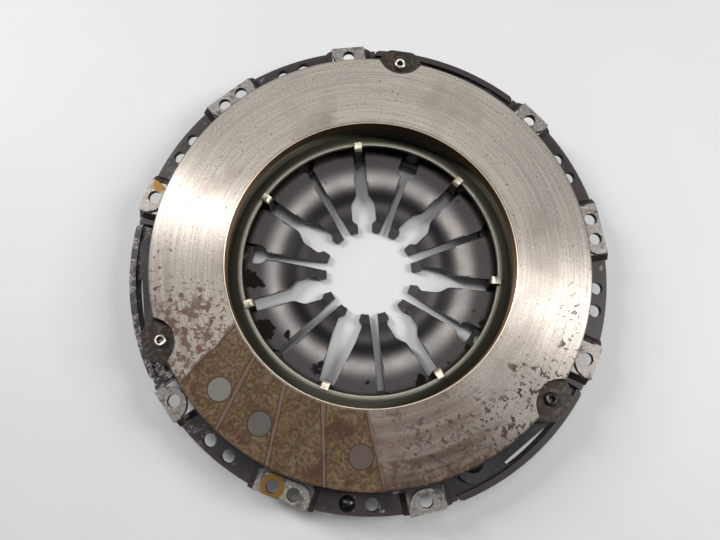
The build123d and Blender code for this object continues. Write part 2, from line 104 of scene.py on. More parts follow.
def linear(code):
    """An sRGB hex colour as the linear values that a shader reads."""
    parts = [int(code[i:i + 2], 16) / 255 for i in (1, 3, 5)]
    return [p / 12.92 if p <= 0.04045 else ((p + 0.055) / 1.055) ** 2.4 for p in parts] + [1.0]


def add_node(tree, kind, inputs=(), **settings):
    """Adds one shader node, with its own settings, and sets or links its inputs.

    A Mix node's inputs go by number: 0 is its factor, 2 and 3 its numbers, 6 and 7 its colours.
    """
    node = tree.nodes.new("ShaderNode" + kind)
    for name, value in settings.items():
        setattr(node, name, value)
    for name, value in dict(inputs).items():
        if isinstance(value, bpy.types.NodeSocket):
            tree.links.new(value, node.inputs[name])
        else:
            node.inputs[name].default_value = value
    return node


world = bpy.data.worlds.new("pale_room")
world.use_nodes = True
world.node_tree.nodes["Background"].inputs["Color"].default_value = linear("#EDEFF2")
world.node_tree.nodes["Background"].inputs["Strength"].default_value = 0.15
bpy.context.scene.world = world

# ---- floor: a painted bench top that the part stands on, with a hair's clearance below the
# lowest ring of its cover. It is painted by brush and is part of the stage.
bench_size = 6.0
clearance = 0.00005
bpy.ops.object.select_all(action="DESELECT")
bpy.ops.mesh.primitive_plane_add(size=bench_size, location=(0, 0, cad_box[0][2] - clearance))
floor = bpy.context.object
floor.name = "bench_top"
bpy.ops.object.transform_apply()
# Matt paint mirrors nothing and is nearly even: the eye finds only faint clouds in its coat.
# A noise scale counts grains in a metre, so 6 gives clouds about 170 mm across.
bench_paint = bpy.data.materials.new("matt_bench_paint")
bench_paint.use_nodes = True
tree = bench_paint.node_tree
place = add_node(tree, "TexCoord").outputs["Object"]
clouds = add_node(tree, "TexNoise", {"Vector": place, "Scale": 6.0, "Detail": 2.0}).outputs["Fac"]
greys = {0: clouds, 6: linear("#97979A"), 7: linear("#A1A19F")}
paint = add_node(tree, "Mix", greys, data_type="RGBA").outputs[2]
tree.links.new(paint, tree.nodes["Principled BSDF"].inputs["Base Color"])
tree.nodes["Principled BSDF"].inputs["Roughness"].default_value = 0.7
floor.data.materials.append(bench_paint)


# ---- pressure plate: grey cast iron, cast with its three riveting ears, turned all round and
# ground on its friction face. The lining has left a brown transfer with the print of its grooves
# and rivet heads on one quarter of it.
def dressed(node, name, edge, materials):
    """A copy of a CAD node, its flat faces merged and its edges broken as on a deburred part.

    The broken edges take the last material. Weighted normals keep large flat faces level.
    """
    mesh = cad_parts[node].data.copy()
    piece = bpy.data.objects.new(name, mesh)
    bpy.context.scene.collection.objects.link(piece)
    bpy.ops.object.select_all(action="DESELECT")
    bpy.context.view_layer.objects.active = piece
    piece.select_set(True)
    mesh.materials.clear()
    for material in materials:
        mesh.materials.append(material)
    bpy.ops.mesh.customdata_custom_splitnormals_clear()
    bpy.ops.object.mode_set(mode="EDIT")
    bpy.ops.mesh.select_all(action="SELECT")
    bpy.ops.mesh.remove_doubles(threshold=0.000002)
    bpy.ops.mesh.dissolve_limited(angle_limit=radians(0.2))
    bpy.ops.object.mode_set(mode="OBJECT")
    bevel = piece.modifiers.new("broken_edges", "BEVEL")
    bevel.width = edge
    bevel.segments = 2
    bevel.limit_method = "ANGLE"
    bevel.angle_limit = radians(32)
    bevel.material = len(materials) - 1
    bpy.ops.object.modifier_apply(modifier=bevel.name)
    bpy.ops.object.shade_smooth_by_angle(angle=radians(30))
    level = piece.modifiers.new("level_faces", "WEIGHTED_NORMAL")
    level.keep_sharp = True
    bpy.ops.object.modifier_apply(modifier=level.name)
    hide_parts(node)
    return piece


def from_axis(tree):
    """Sockets for the place, height and radius on a turned piece, and the direction round it."""
    place = add_node(tree, "TexCoord").outputs["Object"]
    height = add_node(tree, "SeparateXYZ", {"Vector": place}).outputs["Z"]
    flat = add_node(tree, "VectorMath", {0: place, 1: (1, 1, 0)}, operation="MULTIPLY").outputs[0]
    radius = add_node(tree, "VectorMath", {0: flat}, operation="LENGTH").outputs["Value"]
    around = add_node(tree, "VectorMath", {0: flat}, operation="NORMALIZE").outputs[0]
    return place, height, radius, around


def turned_marks(tree, radius, around, stretch):
    """Coordinates in which noise runs out into arcs round the axis, as tool and grit marks do."""
    level = add_node(tree, "CombineXYZ", {"Z": radius}).outputs[0]
    drawn = {0: around, "Scale": stretch}
    drawn = add_node(tree, "VectorMath", drawn, operation="SCALE").outputs[0]
    return add_node(tree, "VectorMath", {0: level, 1: drawn}, operation="ADD").outputs[0]


def masked(tree, *limits):
    """A mask that is 1 where every value is past its full limit and eases to 0 at its start.

    Each limit is (value, start, full), and start is the greater where the mask is for less.
    A mask that is ready may stand in for one.
    """
    mask = None
    for limit in limits:
        if isinstance(limit, tuple):
            value, start, full = limit
            settings = {"Value": value, "From Min": start, "From Max": full}
            eased = add_node(tree, "MapRange", settings, interpolation_type="SMOOTHSTEP")
            limit = eased.outputs["Result"]
        if mask is not None:
            limit = add_node(tree, "Math", {0: mask, 1: limit}, operation="MULTIPLY").outputs[0]
        mask = limit
    return mask


def painted(tree, base, *coats):
    """Lays coats (colour, limits...) over the base in turn, each masked by its own limits."""
    for coat, *limits in coats:
        layers = {0: masked(tree, *limits), 6: base, 7: coat}
        base = add_node(tree, "Mix", layers, data_type="RGBA").outputs[2]
    return base


def finish_surface(tree, colour, roughness, relief, distance, metallic):
    """Links colour, roughness and relief to the shader. Distance is the relief's depth in m."""
    shader = tree.nodes["Principled BSDF"]
    tree.links.new(colour, shader.inputs["Base Color"])
    tree.links.new(roughness, shader.inputs["Roughness"])
    bump = add_node(tree, "Bump", {"Height": relief, "Distance": distance, "Strength": 1.0})
    tree.links.new(bump.outputs["Normal"], shader.inputs["Normal"])
    shader.inputs["Metallic"].default_value = metallic
    return shader


face_height = 0.012
face_radius = 0.121
bore_radius = 0.08
bore_step = 0.003
# Cast iron ground by grit that ran round the axis is a warm grey, and its fine round marks stretch
# each light into a bright fan that lies across them.
ground_iron = bpy.data.materials.new("ground_grey_cast_iron")
ground_iron.use_nodes = True
tree = ground_iron.node_tree
place, height, radius, around = from_axis(tree)
# The grit marks are 0.1 mm apart on the real face. They are drawn about 0.6 mm apart and 60 times
# as long, so that they show, in 3 mm bands. The iron has 1 mm speckle, 1.6 mm pits, 10 mm blotches
# and 30 mm clouds.
marks = turned_marks(tree, radius, around, stretch=0.0016)
grit = add_node(tree, "TexNoise", {"Vector": marks, "Scale": 1700.0, "Detail": 4.0}).outputs["Fac"]
bands = add_node(tree, "TexNoise", {"Vector": marks, "Scale": 330.0, "Detail": 2.0}).outputs["Fac"]
speckle = add_node(
    tree, "TexNoise", {"Vector": place, "Scale": 1000.0, "Detail": 2.0}
).outputs["Fac"]
pits = add_node(tree, "TexNoise", {"Vector": place, "Scale": 620.0, "Detail": 2.0}).outputs["Fac"]
blotch = add_node(
    tree, "TexNoise", {"Vector": place, "Scale": 95.0, "Detail": 5.0, "Roughness": 0.62}
).outputs["Fac"]
clouds = add_node(tree, "TexNoise", {"Vector": place, "Scale": 34.0, "Detail": 4.0}).outputs["Fac"]
ground = painted(
    tree,
    linear("#605B55"),
    (linear("#726C66"), (grit, 0.36, 0.66)),
    (linear("#7C766F"), (speckle, 0.5, 0.72)),
    (linear("#635D57"), (bands, 0.5, 0.8)),
    (linear("#5B544E"), (clouds, 0.5, 0.8)),
)
# Smoke-brown film where the face ran hottest, on one side and thickest towards the rim. It is
# broken up by 3 mm flecks and 5 mm mottling.
film_side = (0.03, -1.0, 0.0)
toward_film = add_node(
    tree, "VectorMath", {0: around, 1: film_side}, operation="DOT_PRODUCT"
).outputs["Value"]
film_depth = add_node(
    tree, "MapRange", {"Value": radius, "From Min": 0.084, "From Max": 0.112, "To Min": 0.62}
).outputs["Result"]
film = masked(tree, (toward_film, 0.74, 0.93), (bands, -0.2, 0.65), film_depth)
flecks = add_node(
    tree, "TexNoise", {"Vector": place, "Scale": 330.0, "Detail": 4.0, "Distortion": 0.8}
).outputs["Fac"]
mottle = add_node(
    tree, "TexNoise", {"Vector": place, "Scale": 210.0, "Detail": 6.0, "Roughness": 0.7}
).outputs["Fac"]
ground = painted(
    tree,
    ground,
    (linear("#33271F"), film),
    (linear("#51463D"), film, (mottle, 0.52, 0.62)),
    (linear("#241A15"), film, (mottle, 0.44, 0.38)),
)
# Rust in patches, each by its direction from the axis in degrees: brown blots beside the print and
# across from it, and black flecks on the outer edge at both ends of the bright sectors. Far and
# near are cosines from that direction, and a patch fades in over 10 mm round its inner radius.
for angle, far, near, marks_of, low, high, inner, code in (
    (206, 0.955, 0.99, mottle, 0.5, 0.56, 0.08, "#43352D"),
    (202, 0.955, 0.985, flecks, 0.56, 0.62, 0.08, "#453226"),
    (184, 0.976, 0.996, flecks, 0.6, 0.66, 0.104, "#3A302A"),
    (338, 0.950, 0.985, flecks, 0.59, 0.65, 0.103, "#2B2320"),
    (316, 0.955, 0.985, blotch, 0.6, 0.64, 0.09, "#31261F"),
    (314, 0.960, 0.985, flecks, 0.55, 0.6, 0.098, "#2B211C"),
    (293, 0.930, 0.985, flecks, 0.58, 0.63, 0.09, "#2E221B"),
):
    aim = (cos(radians(angle)), sin(radians(angle)), 0)
    toward = add_node(
        tree, "VectorMath", {0: around, 1: aim}, operation="DOT_PRODUCT"
    ).outputs["Value"]
    fade_in = (radius, inner - 0.004, inner + 0.006)
    patch = ((toward, far, near), (marks_of, low, high), fade_in)
    ground = painted(tree, ground, (linear(code), *patch))
ground = painted(tree, ground, (linear("#40362F"), (pits, 0.68, 0.74)))
# The print: four lining blocks, with a groove between each two, given by both ends of each groove
# in mm. The grooves wander a little, and the outer two, where the print stops, are frayed.
grooves = (
    ((-98.0, -63.8), (-77.9, -42.0)),
    ((-77.8, -86.4), (-62.7, -55.5)),
    ((-52.7, -104.0), (-46.1, -71.4)),
    ((-24.4, -110.3), (-25.3, -78.4)),
    ((3.9, -108.5), (-2.1, -81.4)),
)
groove_edge = 0.0011
groove_floor = 0.0006
groove_wander = 0.0012
fray_width = 0.006
sides = []
for outer, inner in grooves:
    along = (Vector(outer) - Vector(inner)).normalized()
    across = Vector((-along.y, along.x, 0))
    offset = across.to_2d().dot(Vector(outer)) / 1000
    side = add_node(
        tree, "VectorMath", {0: place, 1: across}, operation="DOT_PRODUCT"
    ).outputs["Value"]
    sides.append(add_node(tree, "Math", {0: side, 1: offset}, operation="SUBTRACT").outputs[0])
nearest = add_node(tree, "Math", {0: sides[0]}, operation="ABSOLUTE").outputs[0]
for side in sides[1:]:
    off = add_node(tree, "Math", {0: side}, operation="ABSOLUTE").outputs[0]
    nearest = add_node(tree, "Math", {0: nearest, 1: off}, operation="MINIMUM").outputs[0]
ragged = add_node(
    tree, "MapRange", {"Value": blotch, "To Min": -groove_wander, "To Max": groove_wander}
).outputs["Result"]
nearest = add_node(tree, "Math", {0: nearest, 1: ragged}, operation="ADD").outputs[0]
fray = add_node(tree, "Math", {0: blotch, 1: 0.5}, operation="SUBTRACT").outputs[0]
fray = add_node(tree, "Math", {0: fray, 1: fray_width}, operation="MULTIPLY").outputs[0]
first = add_node(tree, "Math", {0: sides[0], 1: fray}, operation="ADD").outputs[0]
last = add_node(tree, "Math", {0: sides[-1], 1: fray}, operation="ADD").outputs[0]
print_area = masked(
    tree,
    (first, -0.0002, 0.0006),
    (last, 0.0012, -0.0012),
    (radius, bore_radius + 0.0006, bore_radius + 0.0015),
    (radius, face_radius + 0.0002, face_radius - 0.0001),
)
# The lining's yarn shows in it as 4 mm curls.
yarn = add_node(
    tree, "TexNoise", {"Vector": place, "Scale": 230.0, "Detail": 4.0, "Distortion": 2.2}
).outputs["Fac"]
transfer = painted(
    tree,
    linear("#4E3D2B"),
    (linear("#65523F"), (yarn, 0.42, 0.58)),
    (linear("#6C6656"), (yarn, 0.6, 0.72)),
    (linear("#4A3527"), (blotch, 0.52, 0.66)),
    (linear("#3F2C27"), (nearest, groove_edge + 0.0005, groove_edge)),
    (linear("#66534A"), (nearest, groove_floor + 0.0004, groove_floor)),
)
# The lining's rivet heads, each in a dark ring and wiped to a different grey.
wiped_radius = 0.0064
for x, y, code in (
    (-0.0789, -0.07, "#6F6B65"),
    (-0.0577, -0.0873, "#57544F"),
    (-0.0057, -0.1036, "#564C45"),
):
    head_place = (x, y, face_height)
    off = add_node(
        tree, "VectorMath", {0: place, 1: head_place}, operation="DISTANCE"
    ).outputs["Value"]
    transfer = painted(
        tree,
        transfer,
        (linear("#3C2D26"), (off, wiped_radius + 0.0005, wiped_radius)),
        (linear(code), (off, wiped_radius - 0.0001, wiped_radius - 0.0006)),
    )
on_face = masked(tree, (height, face_height - 0.0007, face_height - 0.0002))
on_print = masked(tree, on_face, print_area)
# Turned bore: rusted where the lining overhangs it. Below its step it is painted black as shade,
# where the plate overhangs the support ring, and a painted highlight in bright cream runs round the
# chamfer. The cast skin has grains of about 2.4 mm.
cast_skin = add_node(
    tree, "TexNoise", {"Vector": place, "Scale": 420.0, "Detail": 4.0}
).outputs["Fac"]
bore_wall = (radius, bore_radius + 0.0015, bore_radius + 0.001)
painted_shade_under_step = (radius, 0.095, 0.094)
chamfer_highlight = (radius, bore_radius + 0.003, bore_radius + 0.0025)
body = painted(
    tree,
    linear("#2F2A27"),
    (linear("#4A4139"), (cast_skin, 0.45, 0.7)),
    (linear("#43301F"), bore_wall, (height, bore_step - 0.0005, bore_step + 0.0002)),
    (linear("#121012"), painted_shade_under_step, (height, bore_step - 0.0001, bore_step - 0.0006)),
    (linear("#E3D3BC"), chamfer_highlight, (height, face_height - 0.0012, face_height - 0.0007)),
)
colour = painted(tree, body, (ground, on_face), (transfer, on_print))
print_roughness = 0.72
cast_roughness = 0.62
rough = add_node(
    tree, "MapRange", {"Value": grit, "To Min": 0.32, "To Max": 0.4}
).outputs["Result"]
rough = add_node(tree, "Mix", {0: on_print, 2: rough, 3: print_roughness}).outputs[0]
rough = add_node(tree, "Mix", {0: on_face, 2: cast_roughness, 3: rough}).outputs[0]
relief = add_node(tree, "Mix", {0: on_face, 2: cast_skin, 3: grit}).outputs[0]
shader = finish_surface(tree, colour, rough, relief, distance=0.000014, metallic=0.75)
shader.inputs["Anisotropic"].default_value = 0.95
shader.inputs["Anisotropic Rotation"].default_value = 0.25
tangent = add_node(tree, "Tangent", direction_type="RADIAL", axis="Z").outputs[0]
tree.links.new(tangent, shader.inputs["Tangent"])
plate = dressed(
    "pressure_plate", "plate_casting", edge=0.0003, materials=[ground_iron]
)
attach(plate, "pressure_plate")

# ---- ear rivets: plain steel, one through each ear and its strap, the end drilled and rolled
# over, so a bright turned ring stands round a small hole.
rivet_steel = bpy.data.materials.new("rolled_rivet_steel")
rivet_steel.use_nodes = True
tree = rivet_steel.node_tree
place = add_node(tree, "TexCoord").outputs["Object"]
axes = add_node(tree, "SeparateXYZ", {"Vector": place})
# Plain steel is a satin grey, here with 1.1 mm grains, and the rolling tool leaves the crown
# bright. The rivet at the greatest x has kept its dark skin.
grain = add_node(tree, "TexNoise", {"Vector": place, "Scale": 900.0, "Detail": 3.0}).outputs["Fac"]
colour = painted(
    tree,
    linear("#5A534B"),
    (linear("#8E867B"), (grain, 0.42, 0.62)),
    (linear("#B9B2A6"), (axes.outputs["Z"], 0.0092, 0.00935)),
    (linear("#393532"), (axes.outputs["X"], 0.08, 0.09)),
)
rough = add_node(
    tree, "MapRange", {"Value": grain, "To Min": 0.28, "To Max": 0.5}
).outputs["Result"]
finish_surface(tree, colour, rough, grain, distance=0.00004, metallic=0.9)


def turned(name, section, steps, materials):
    """A closed section of (radius, height) points in mm, spun right round the z axis."""
    bpy.ops.object.select_all(action="DESELECT")
    bpy.ops.mesh.primitive_circle_add(vertices=len(section), radius=0.01, location=(0, 0, 0))
    piece = bpy.context.object
    piece.name = name
    for corner, (radius, height) in zip(piece.data.vertices, section):
        corner.co = (radius / 1000, 0, height / 1000)
    bpy.ops.object.mode_set(mode="EDIT")
    bpy.ops.mesh.select_all(action="SELECT")
    bpy.ops.mesh.spin(steps=steps, angle=2 * pi, center=(0, 0, 0), axis=(0, 0, 1))
    bpy.ops.mesh.select_all(action="SELECT")
    bpy.ops.mesh.remove_doubles(threshold=0.000005)
    bpy.ops.mesh.normals_make_consistent(inside=False)
    bpy.ops.object.mode_set(mode="OBJECT")
    bpy.ops.object.shade_smooth_by_angle(angle=radians(35))
    for material in materials:
        piece.data.materials.append(material)
    return piece


# The section in mm: the head below the strap, the shank, the rolled end and the drilled hole.
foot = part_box("ear_rivet_1")[0].z * 1000
head_radius, head_height, head_bevel, shank_radius = 6.3, 2.5, 0.6, 3.0
head = (
    (0.0, foot),
    (head_radius - head_bevel, foot),
    (head_radius, foot + head_bevel),
    (head_radius, foot + head_height),
    (shank_radius, foot + head_height),
)
rolled_end = (
    (shank_radius, 6.5), (3.6, 6.55), (3.75, 7.3), (3.6, 8.3),
    (3.1, 9.1), (2.4, 9.4), (1.8, 9.2), (1.45, 8.4),
)
drilled_hole = ((1.4, 5.0), (0.0, 4.6))
section = (*head, *rolled_end, *drilled_hole)
rivets = [turned("rolled_rivet_1", section, steps=48, materials=[rivet_steel])]
for number in (2, 3):
    bpy.ops.object.duplicate()
    bpy.context.object.name = f"rolled_rivet_{number}"
    rivets.append(bpy.context.object)
ear_rivet_circle = 0.1208
for number, (rivet, angle) in enumerate(zip(rivets, (81.6, 201.6, 321.6)), start=1):
    bpy.ops.object.select_all(action="DESELECT")
    bpy.context.view_layer.objects.active = rivet
    rivet.select_set(True)
    turn = radians(angle)
    rivet.location = (ear_rivet_circle * cos(turn), ear_rivet_circle * sin(turn), 0)
    bpy.ops.object.transform_apply()
    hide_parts(f"ear_rivet_{number}")
    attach(rivet, "pressure_plate")

# ---- diaphragm spring: one disc of chrome-vanadium spring steel, blanked, coned, hardened and
# shot-peened, slotted into seven pairs of fingers. It is held between the plate's bead and the
# support ring.
spring_steel = bpy.data.materials.new("hardened_spring_steel")
spring_steel.use_nodes = True
tree = spring_steel.node_tree
place, _, radius, _ = from_axis(tree)
# Scale from the oil quench leaves it near black, bluest where the fingers turn down, and peening
# spreads each light into a soft band. Over that, painted shade darkens the outer roots, the bend
# and the finger heads and, a touch less, the tips, so the lighter band left at the bend, 54 to 58
# mm out, is a painted sheen. The dimples are drawn 0.9 mm wide, so that they show; real ones are
# about 0.3 mm. The scale has
# 14 mm clouds.
peening = add_node(
    tree, "TexNoise", {"Vector": place, "Scale": 1100.0, "Detail": 2.0}
).outputs["Fac"]
clouds = add_node(tree, "TexNoise", {"Vector": place, "Scale": 70.0, "Detail": 4.0}).outputs["Fac"]
# Painted shade and sheen by radius: darker roots, bend, heads and tips round a lighter band.
shaded_roots = (radius, 0.058, 0.066)
blued_and_shaded_bend = ((radius, 0.054, 0.047), (radius, 0.037, 0.046))
shaded_finger_heads = (radius, 0.044, 0.041)
shaded_tips = (radius, 0.0315, 0.0305)
colour = painted(
    tree,
    linear("#3B3938"),
    (linear("#46423F"), (clouds, 0.4, 0.7)),
    (linear("#2A2827"), shaded_roots),
    (linear("#1E1C1F"), *blued_and_shaded_bend),
    (linear("#2C2A29"), shaded_finger_heads),
    (linear("#2F2D2B"), shaded_tips),
)
# Painted shade in near black on the outer roots, where the support ring's foot sits on them, and
# brown oil and rust stains where a drop has dried, with 6 mm frayed edges.
stain_edge = add_node(
    tree, "TexNoise", {"Vector": place, "Scale": 160.0, "Detail": 4.0}
).outputs["Fac"]
stain_height = -0.016
stains_and_shade = masked(tree, (radius, 0.0705, 0.0745))
for x, y, size in (
    (-0.0680, -0.0071, 0.0085),
    (-0.0617, -0.0365, 0.0105),
    (-0.0472, -0.0394, 0.0050),
    (-0.0297, -0.0587, 0.0080),
    (0.0283, -0.0643, 0.0060),
    (0.0564, -0.0462, 0.0055),
    (0.0662, -0.0323, 0.0050),
):
    drop_place = (x, y, stain_height)
    off = add_node(
        tree, "VectorMath", {0: place, 1: drop_place}, operation="DISTANCE"
    ).outputs["Value"]
    falling_off = {"Value": off, "From Min": 0.0, "From Max": size, "To Min": 0.75, "To Max": 0.3}
    near = add_node(tree, "MapRange", falling_off).outputs["Result"]
    spot = add_node(tree, "Math", {0: near, 1: stain_edge}, operation="ADD").outputs[0]
    spot = masked(tree, (spot, 1.0, 1.06))
    stains_and_shade = add_node(tree, "Math", {0: stains_and_shade, 1: spot}, operation="MAXIMUM").outputs[0]
colour = painted(tree, colour, (linear("#17110E"), stains_and_shade))
# The bend is burnished; the roots keep the dull skin of the furnace, and the stains are dry.
root_roughness = 0.44
stain_roughness = 0.75
at_root = masked(tree, (radius, 0.057, 0.068))
rough = add_node(
    tree, "MapRange", {"Value": peening, "To Min": 0.26, "To Max": 0.34}
).outputs["Result"]
rough = add_node(tree, "Mix", {0: at_root, 2: rough, 3: root_roughness}).outputs[0]
rough = add_node(tree, "Mix", {0: stains_and_shade, 2: rough, 3: stain_roughness}).outputs[0]
finish_surface(tree, colour, rough, peening, distance=0.000004, metallic=0.92)
# The disc is spun from its section, in mm, drawn from its edge inwards in facets. The slope of its
# face, in degrees at each radius, eases at the bend of the fingers and again at their toes.
finger_tip_radius = 25.8
spring_radius = 105.5
spring_edge_height = -11.6
spring_thickness = 2.85
facet_width = 1.25
slopes = (
    (finger_tip_radius, 11.0), (30.6, 11.0), (31.4, 14.5), (40.0, 9.5), (47.0, 17.0), (57.0, 5.0),
    (66.0, 11.5), (73.0, 11.5), (77.0, 3.0), (80.5, 6.0), (spring_radius, 6.0),
)
spring_face = [(spring_radius, spring_edge_height)]
while spring_face[-1][0] > finger_tip_radius:
    last_radius, last_height = spring_face[-1]
    next_radius = max(last_radius - facet_width, finger_tip_radius)
    inner, outer = next(
        pair for pair in zip(slopes, slopes[1:]) if pair[0][0] <= next_radius <= pair[1][0]
    )
    share = (next_radius - inner[0]) / (outer[0] - inner[0])
    slope = inner[1] + share * (outer[1] - inner[1])
    fall = (last_radius - next_radius) * tan(radians(slope))
    spring_face.append((next_radius, last_height - fall))
spring_back = [(r, z - spring_thickness) for r, z in reversed(spring_face)]
spring = turned("spring_disc", spring_face + spring_back, steps=252, materials=[spring_steel])


def slot_block(outline, rounding):
    """A block with the plan of one slot, x outwards in mm, tall enough to pass through the disc."""
    block_foot = -0.03
    block_height = 0.025
    outline = [*outline, *((x, -y) for x, y in reversed(outline) if y)]
    bpy.ops.object.select_all(action="DESELECT")
    bpy.ops.mesh.primitive_circle_add(
        vertices=len(outline), radius=0.01, fill_type="NGON", location=(0, 0, 0)
    )
    block = bpy.context.object
    for corner, (x, y) in zip(block.data.vertices, outline):
        corner.co = (x / 1000, y / 1000, block_foot)
    bpy.ops.object.mode_set(mode="EDIT")
    bpy.ops.mesh.select_all(action="SELECT")
    if rounding:
        bpy.ops.mesh.bevel(offset=rounding, segments=6, affect="VERTICES")
    bpy.ops.mesh.select_all(action="SELECT")
    bpy.ops.mesh.extrude_region_move(TRANSFORM_OT_translate={"value": (0, 0, block_height)})
    bpy.ops.mesh.select_all(action="SELECT")
    bpy.ops.mesh.normals_make_consistent(inside=False)
    bpy.ops.object.mode_set(mode="OBJECT")
    return block


# Half plans of the slots in mm, from inside the finger tips outwards. A gap between two pairs
# widens behind the finger heads and narrows at a shoulder, and one of the seven is pear-shaped.
# Inside a pair the slot ends in a keyhole, which is long in three pairs.
slot_start = 20.0
gap_heads = [(slot_start, 4.35), (30.6, 4.35), (31.6, 7.3), (42.6, 7.3)]
gap_end = (79.0, 3.6)
gap_fillet = 0.0016
keyhole_centre = 76.6
keyhole_radius = 5.7
long_keyhole_length = 9.5
keyhole_end = [
    (keyhole_centre + keyhole_radius * cos(radians(a)), keyhole_radius * sin(radians(a)))
    for a in (90, 75, 60, 45, 30, 15, 0)
]
short_root = [
    (keyhole_centre - keyhole_radius * cos(radians(a)), keyhole_radius * sin(radians(a)))
    for a in (22, 36, 50, 64, 77)
]
long_side = (*short_root, (keyhole_centre, keyhole_radius))
long_root = [(x - long_keyhole_length, y) for x, y in long_side]
narrow = [(slot_start, 2.65), (finger_tip_radius, 2.65), (40.0, 2.1)]
first_keyhole_angle = 18.0
pitch = 360 / 7
blocks = []
for outline, rounding, stations in (
    ([*gap_heads, (48.0, 3.6), gap_end], gap_fillet, (0, 1, 2, 3, 5, 6)),
    ([*gap_heads, gap_end], gap_fillet, (4,)),
    ([*narrow, *short_root, *keyhole_end], 0, (0, 2, 4, 5)),
    ([*narrow, *long_root, *keyhole_end], 0, (1, 3, 6)),
):
    first_angle = first_keyhole_angle + (pitch / 2 if rounding else 0)
    block = slot_block(outline, rounding)
    block.rotation_euler.z = radians(first_angle + pitch * stations[0])
    blocks.append(block)
    for station in stations[1:]:
        bpy.ops.object.duplicate()
        bpy.context.object.rotation_euler.z = radians(first_angle + pitch * station)
        blocks.append(bpy.context.object)
bpy.ops.object.select_all(action="DESELECT")
for block in blocks:
    block.select_set(True)
bpy.context.view_layer.objects.active = blocks[0]
bpy.ops.object.join()
blocks = bpy.context.object
bpy.ops.object.select_all(action="DESELECT")
spring.select_set(True)
bpy.context.view_layer.objects.active = spring
slots = spring.modifiers.new("slots", "BOOLEAN")
slots.operation = "DIFFERENCE"
slots.object = blocks
slots.solver = "EXACT"
bpy.ops.object.modifier_apply(modifier=slots.name)
bpy.data.objects.remove(blocks)
bevel = spring.modifiers.new("peened_edges", "BEVEL")
bevel.width = 0.0003
bevel.segments = 2
bevel.limit_method = "ANGLE"
bevel.angle_limit = radians(40)
bpy.ops.object.modifier_apply(modifier=bevel.name)
bpy.ops.object.shade_smooth_by_angle(angle=radians(30))
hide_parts("diaphragm_spring")
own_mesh(spring)
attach(spring, "cover")

# ---- support ring: a dished ring pressed from mild steel sheet and phosphated. Its lip is caught
# under the seven hooks of the cover and its foot bears on the spring.
phosphated = bpy.data.materials.new("phosphated_sheet")
phosphated.use_nodes = True
tree = phosphated.node_tree
place, _, radius, around = from_axis(tree)
# Phosphate dulls the sheet to a greenish grey, and the lip is painted lighter as a highlight. Its
# crystals are drawn about 0.8 mm wide, so that they show; real ones are below 0.05 mm. The press
# draws 6 mm clouds out round the axis.
crystal = add_node(
    tree, "TexNoise", {"Vector": place, "Scale": 1300.0, "Detail": 2.0}
).outputs["Fac"]
drawn = turned_marks(tree, radius, around, stretch=0.01)
clouds = add_node(tree, "TexNoise", {"Vector": drawn, "Scale": 160.0, "Detail": 4.0}).outputs["Fac"]
highlit_lip = (radius, 0.0746, 0.0738)
colour = painted(
    tree,
    linear("#59574B"),
    (linear("#656355"), (clouds, 0.42, 0.66)),
    (linear("#6A685E"), highlit_lip),
)
rough = add_node(
    tree, "MapRange", {"Value": crystal, "To Min": 0.34, "To Max": 0.46}
).outputs["Result"]
finish_surface(tree, colour, rough, crystal, distance=0.00001, metallic=0.5)
ring = dressed("support_ring", "dished_ring", edge=0.0006, materials=[phosphated])
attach(ring, "cover")

# ---- drive straps: three leaves of blued spring steel to a strap, clamped by a rivet at each end.
# They carry the drive, and in the working clutch they bend as the plate travels.
blued_leaf = bpy.data.materials.new("blued_spring_leaf")
blued_leaf.use_nodes = True
tree = blued_leaf.node_tree
place = add_node(tree, "TexCoord").outputs["Object"]
# Blueing is a thin dark oxide that takes most of the shine off the rolled strip, which is left
# with 2 mm streaks and 17 mm clouds.
rolled = add_node(tree, "TexNoise", {"Vector": place, "Scale": 480.0, "Detail": 3.0}).outputs["Fac"]
clouds = add_node(tree, "TexNoise", {"Vector": place, "Scale": 60.0, "Detail": 3.0}).outputs["Fac"]
colour = painted(
    tree,
    linear("#1A1A1B"),
    (linear("#252628"), (clouds, 0.42, 0.6)),
    (linear("#353535"), (rolled, 0.6, 0.72)),
)
rough = add_node(
    tree, "MapRange", {"Value": rolled, "To Min": 0.5, "To Max": 0.66}
).outputs["Result"]
shader = finish_surface(tree, colour, rough, rolled, distance=0.00003, metallic=0.2)
shader.inputs["Specular IOR Level"].default_value = 0.2
for strap in (1, 2, 3):
    seat_low, seat_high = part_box(f"seat_rivet_{strap}")
    ear_low, ear_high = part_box(f"ear_rivet_{strap}")
    seat = (seat_low + seat_high) / 2
    ear = (ear_low + ear_high) / 2
    seat.z = ear.z = 0.0
    for leaf in (1, 2, 3):
        node = f"drive_strap_{strap}_leaf_{leaf}"
        name = f"strap_{strap}_blade_{leaf}"
        blade = dressed(node, name, edge=0.00015, materials=[blued_leaf])
        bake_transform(blade)

# ---- cover: drawn and pierced from 3.5 mm steel sheet and stoved dark brown-black. The lug faces
# were machined after pressing, and handling has worn the paint off the edges.
stoved_sheet = bpy.data.materials.new("stoved_pressed_sheet")
stoved_sheet.use_nodes = True
tree = stoved_sheet.node_tree
place, height, radius, around = from_axis(tree)
# Stoved paint is thin and satin, with 1.4 mm grain, 22 mm clouds and 7 mm scuffs. The machined
# lug faces show as bare steel and the hooks, rubbed by the ring, as brighter steel.
grain = add_node(tree, "TexNoise", {"Vector": place, "Scale": 700.0, "Detail": 3.0}).outputs["Fac"]
clouds = add_node(tree, "TexNoise", {"Vector": place, "Scale": 45.0, "Detail": 5.0}).outputs["Fac"]
scuffs = add_node(
    tree, "TexNoise", {"Vector": place, "Scale": 150.0, "Detail": 5.0, "Roughness": 0.65}
).outputs["Fac"]
lug_face = painted(
    tree,
    linear("#65605C"),
    (linear("#7F7974"), (grain, 0.5, 0.66)),
    (linear("#423C39"), (scuffs, 0.52, 0.64)),
)
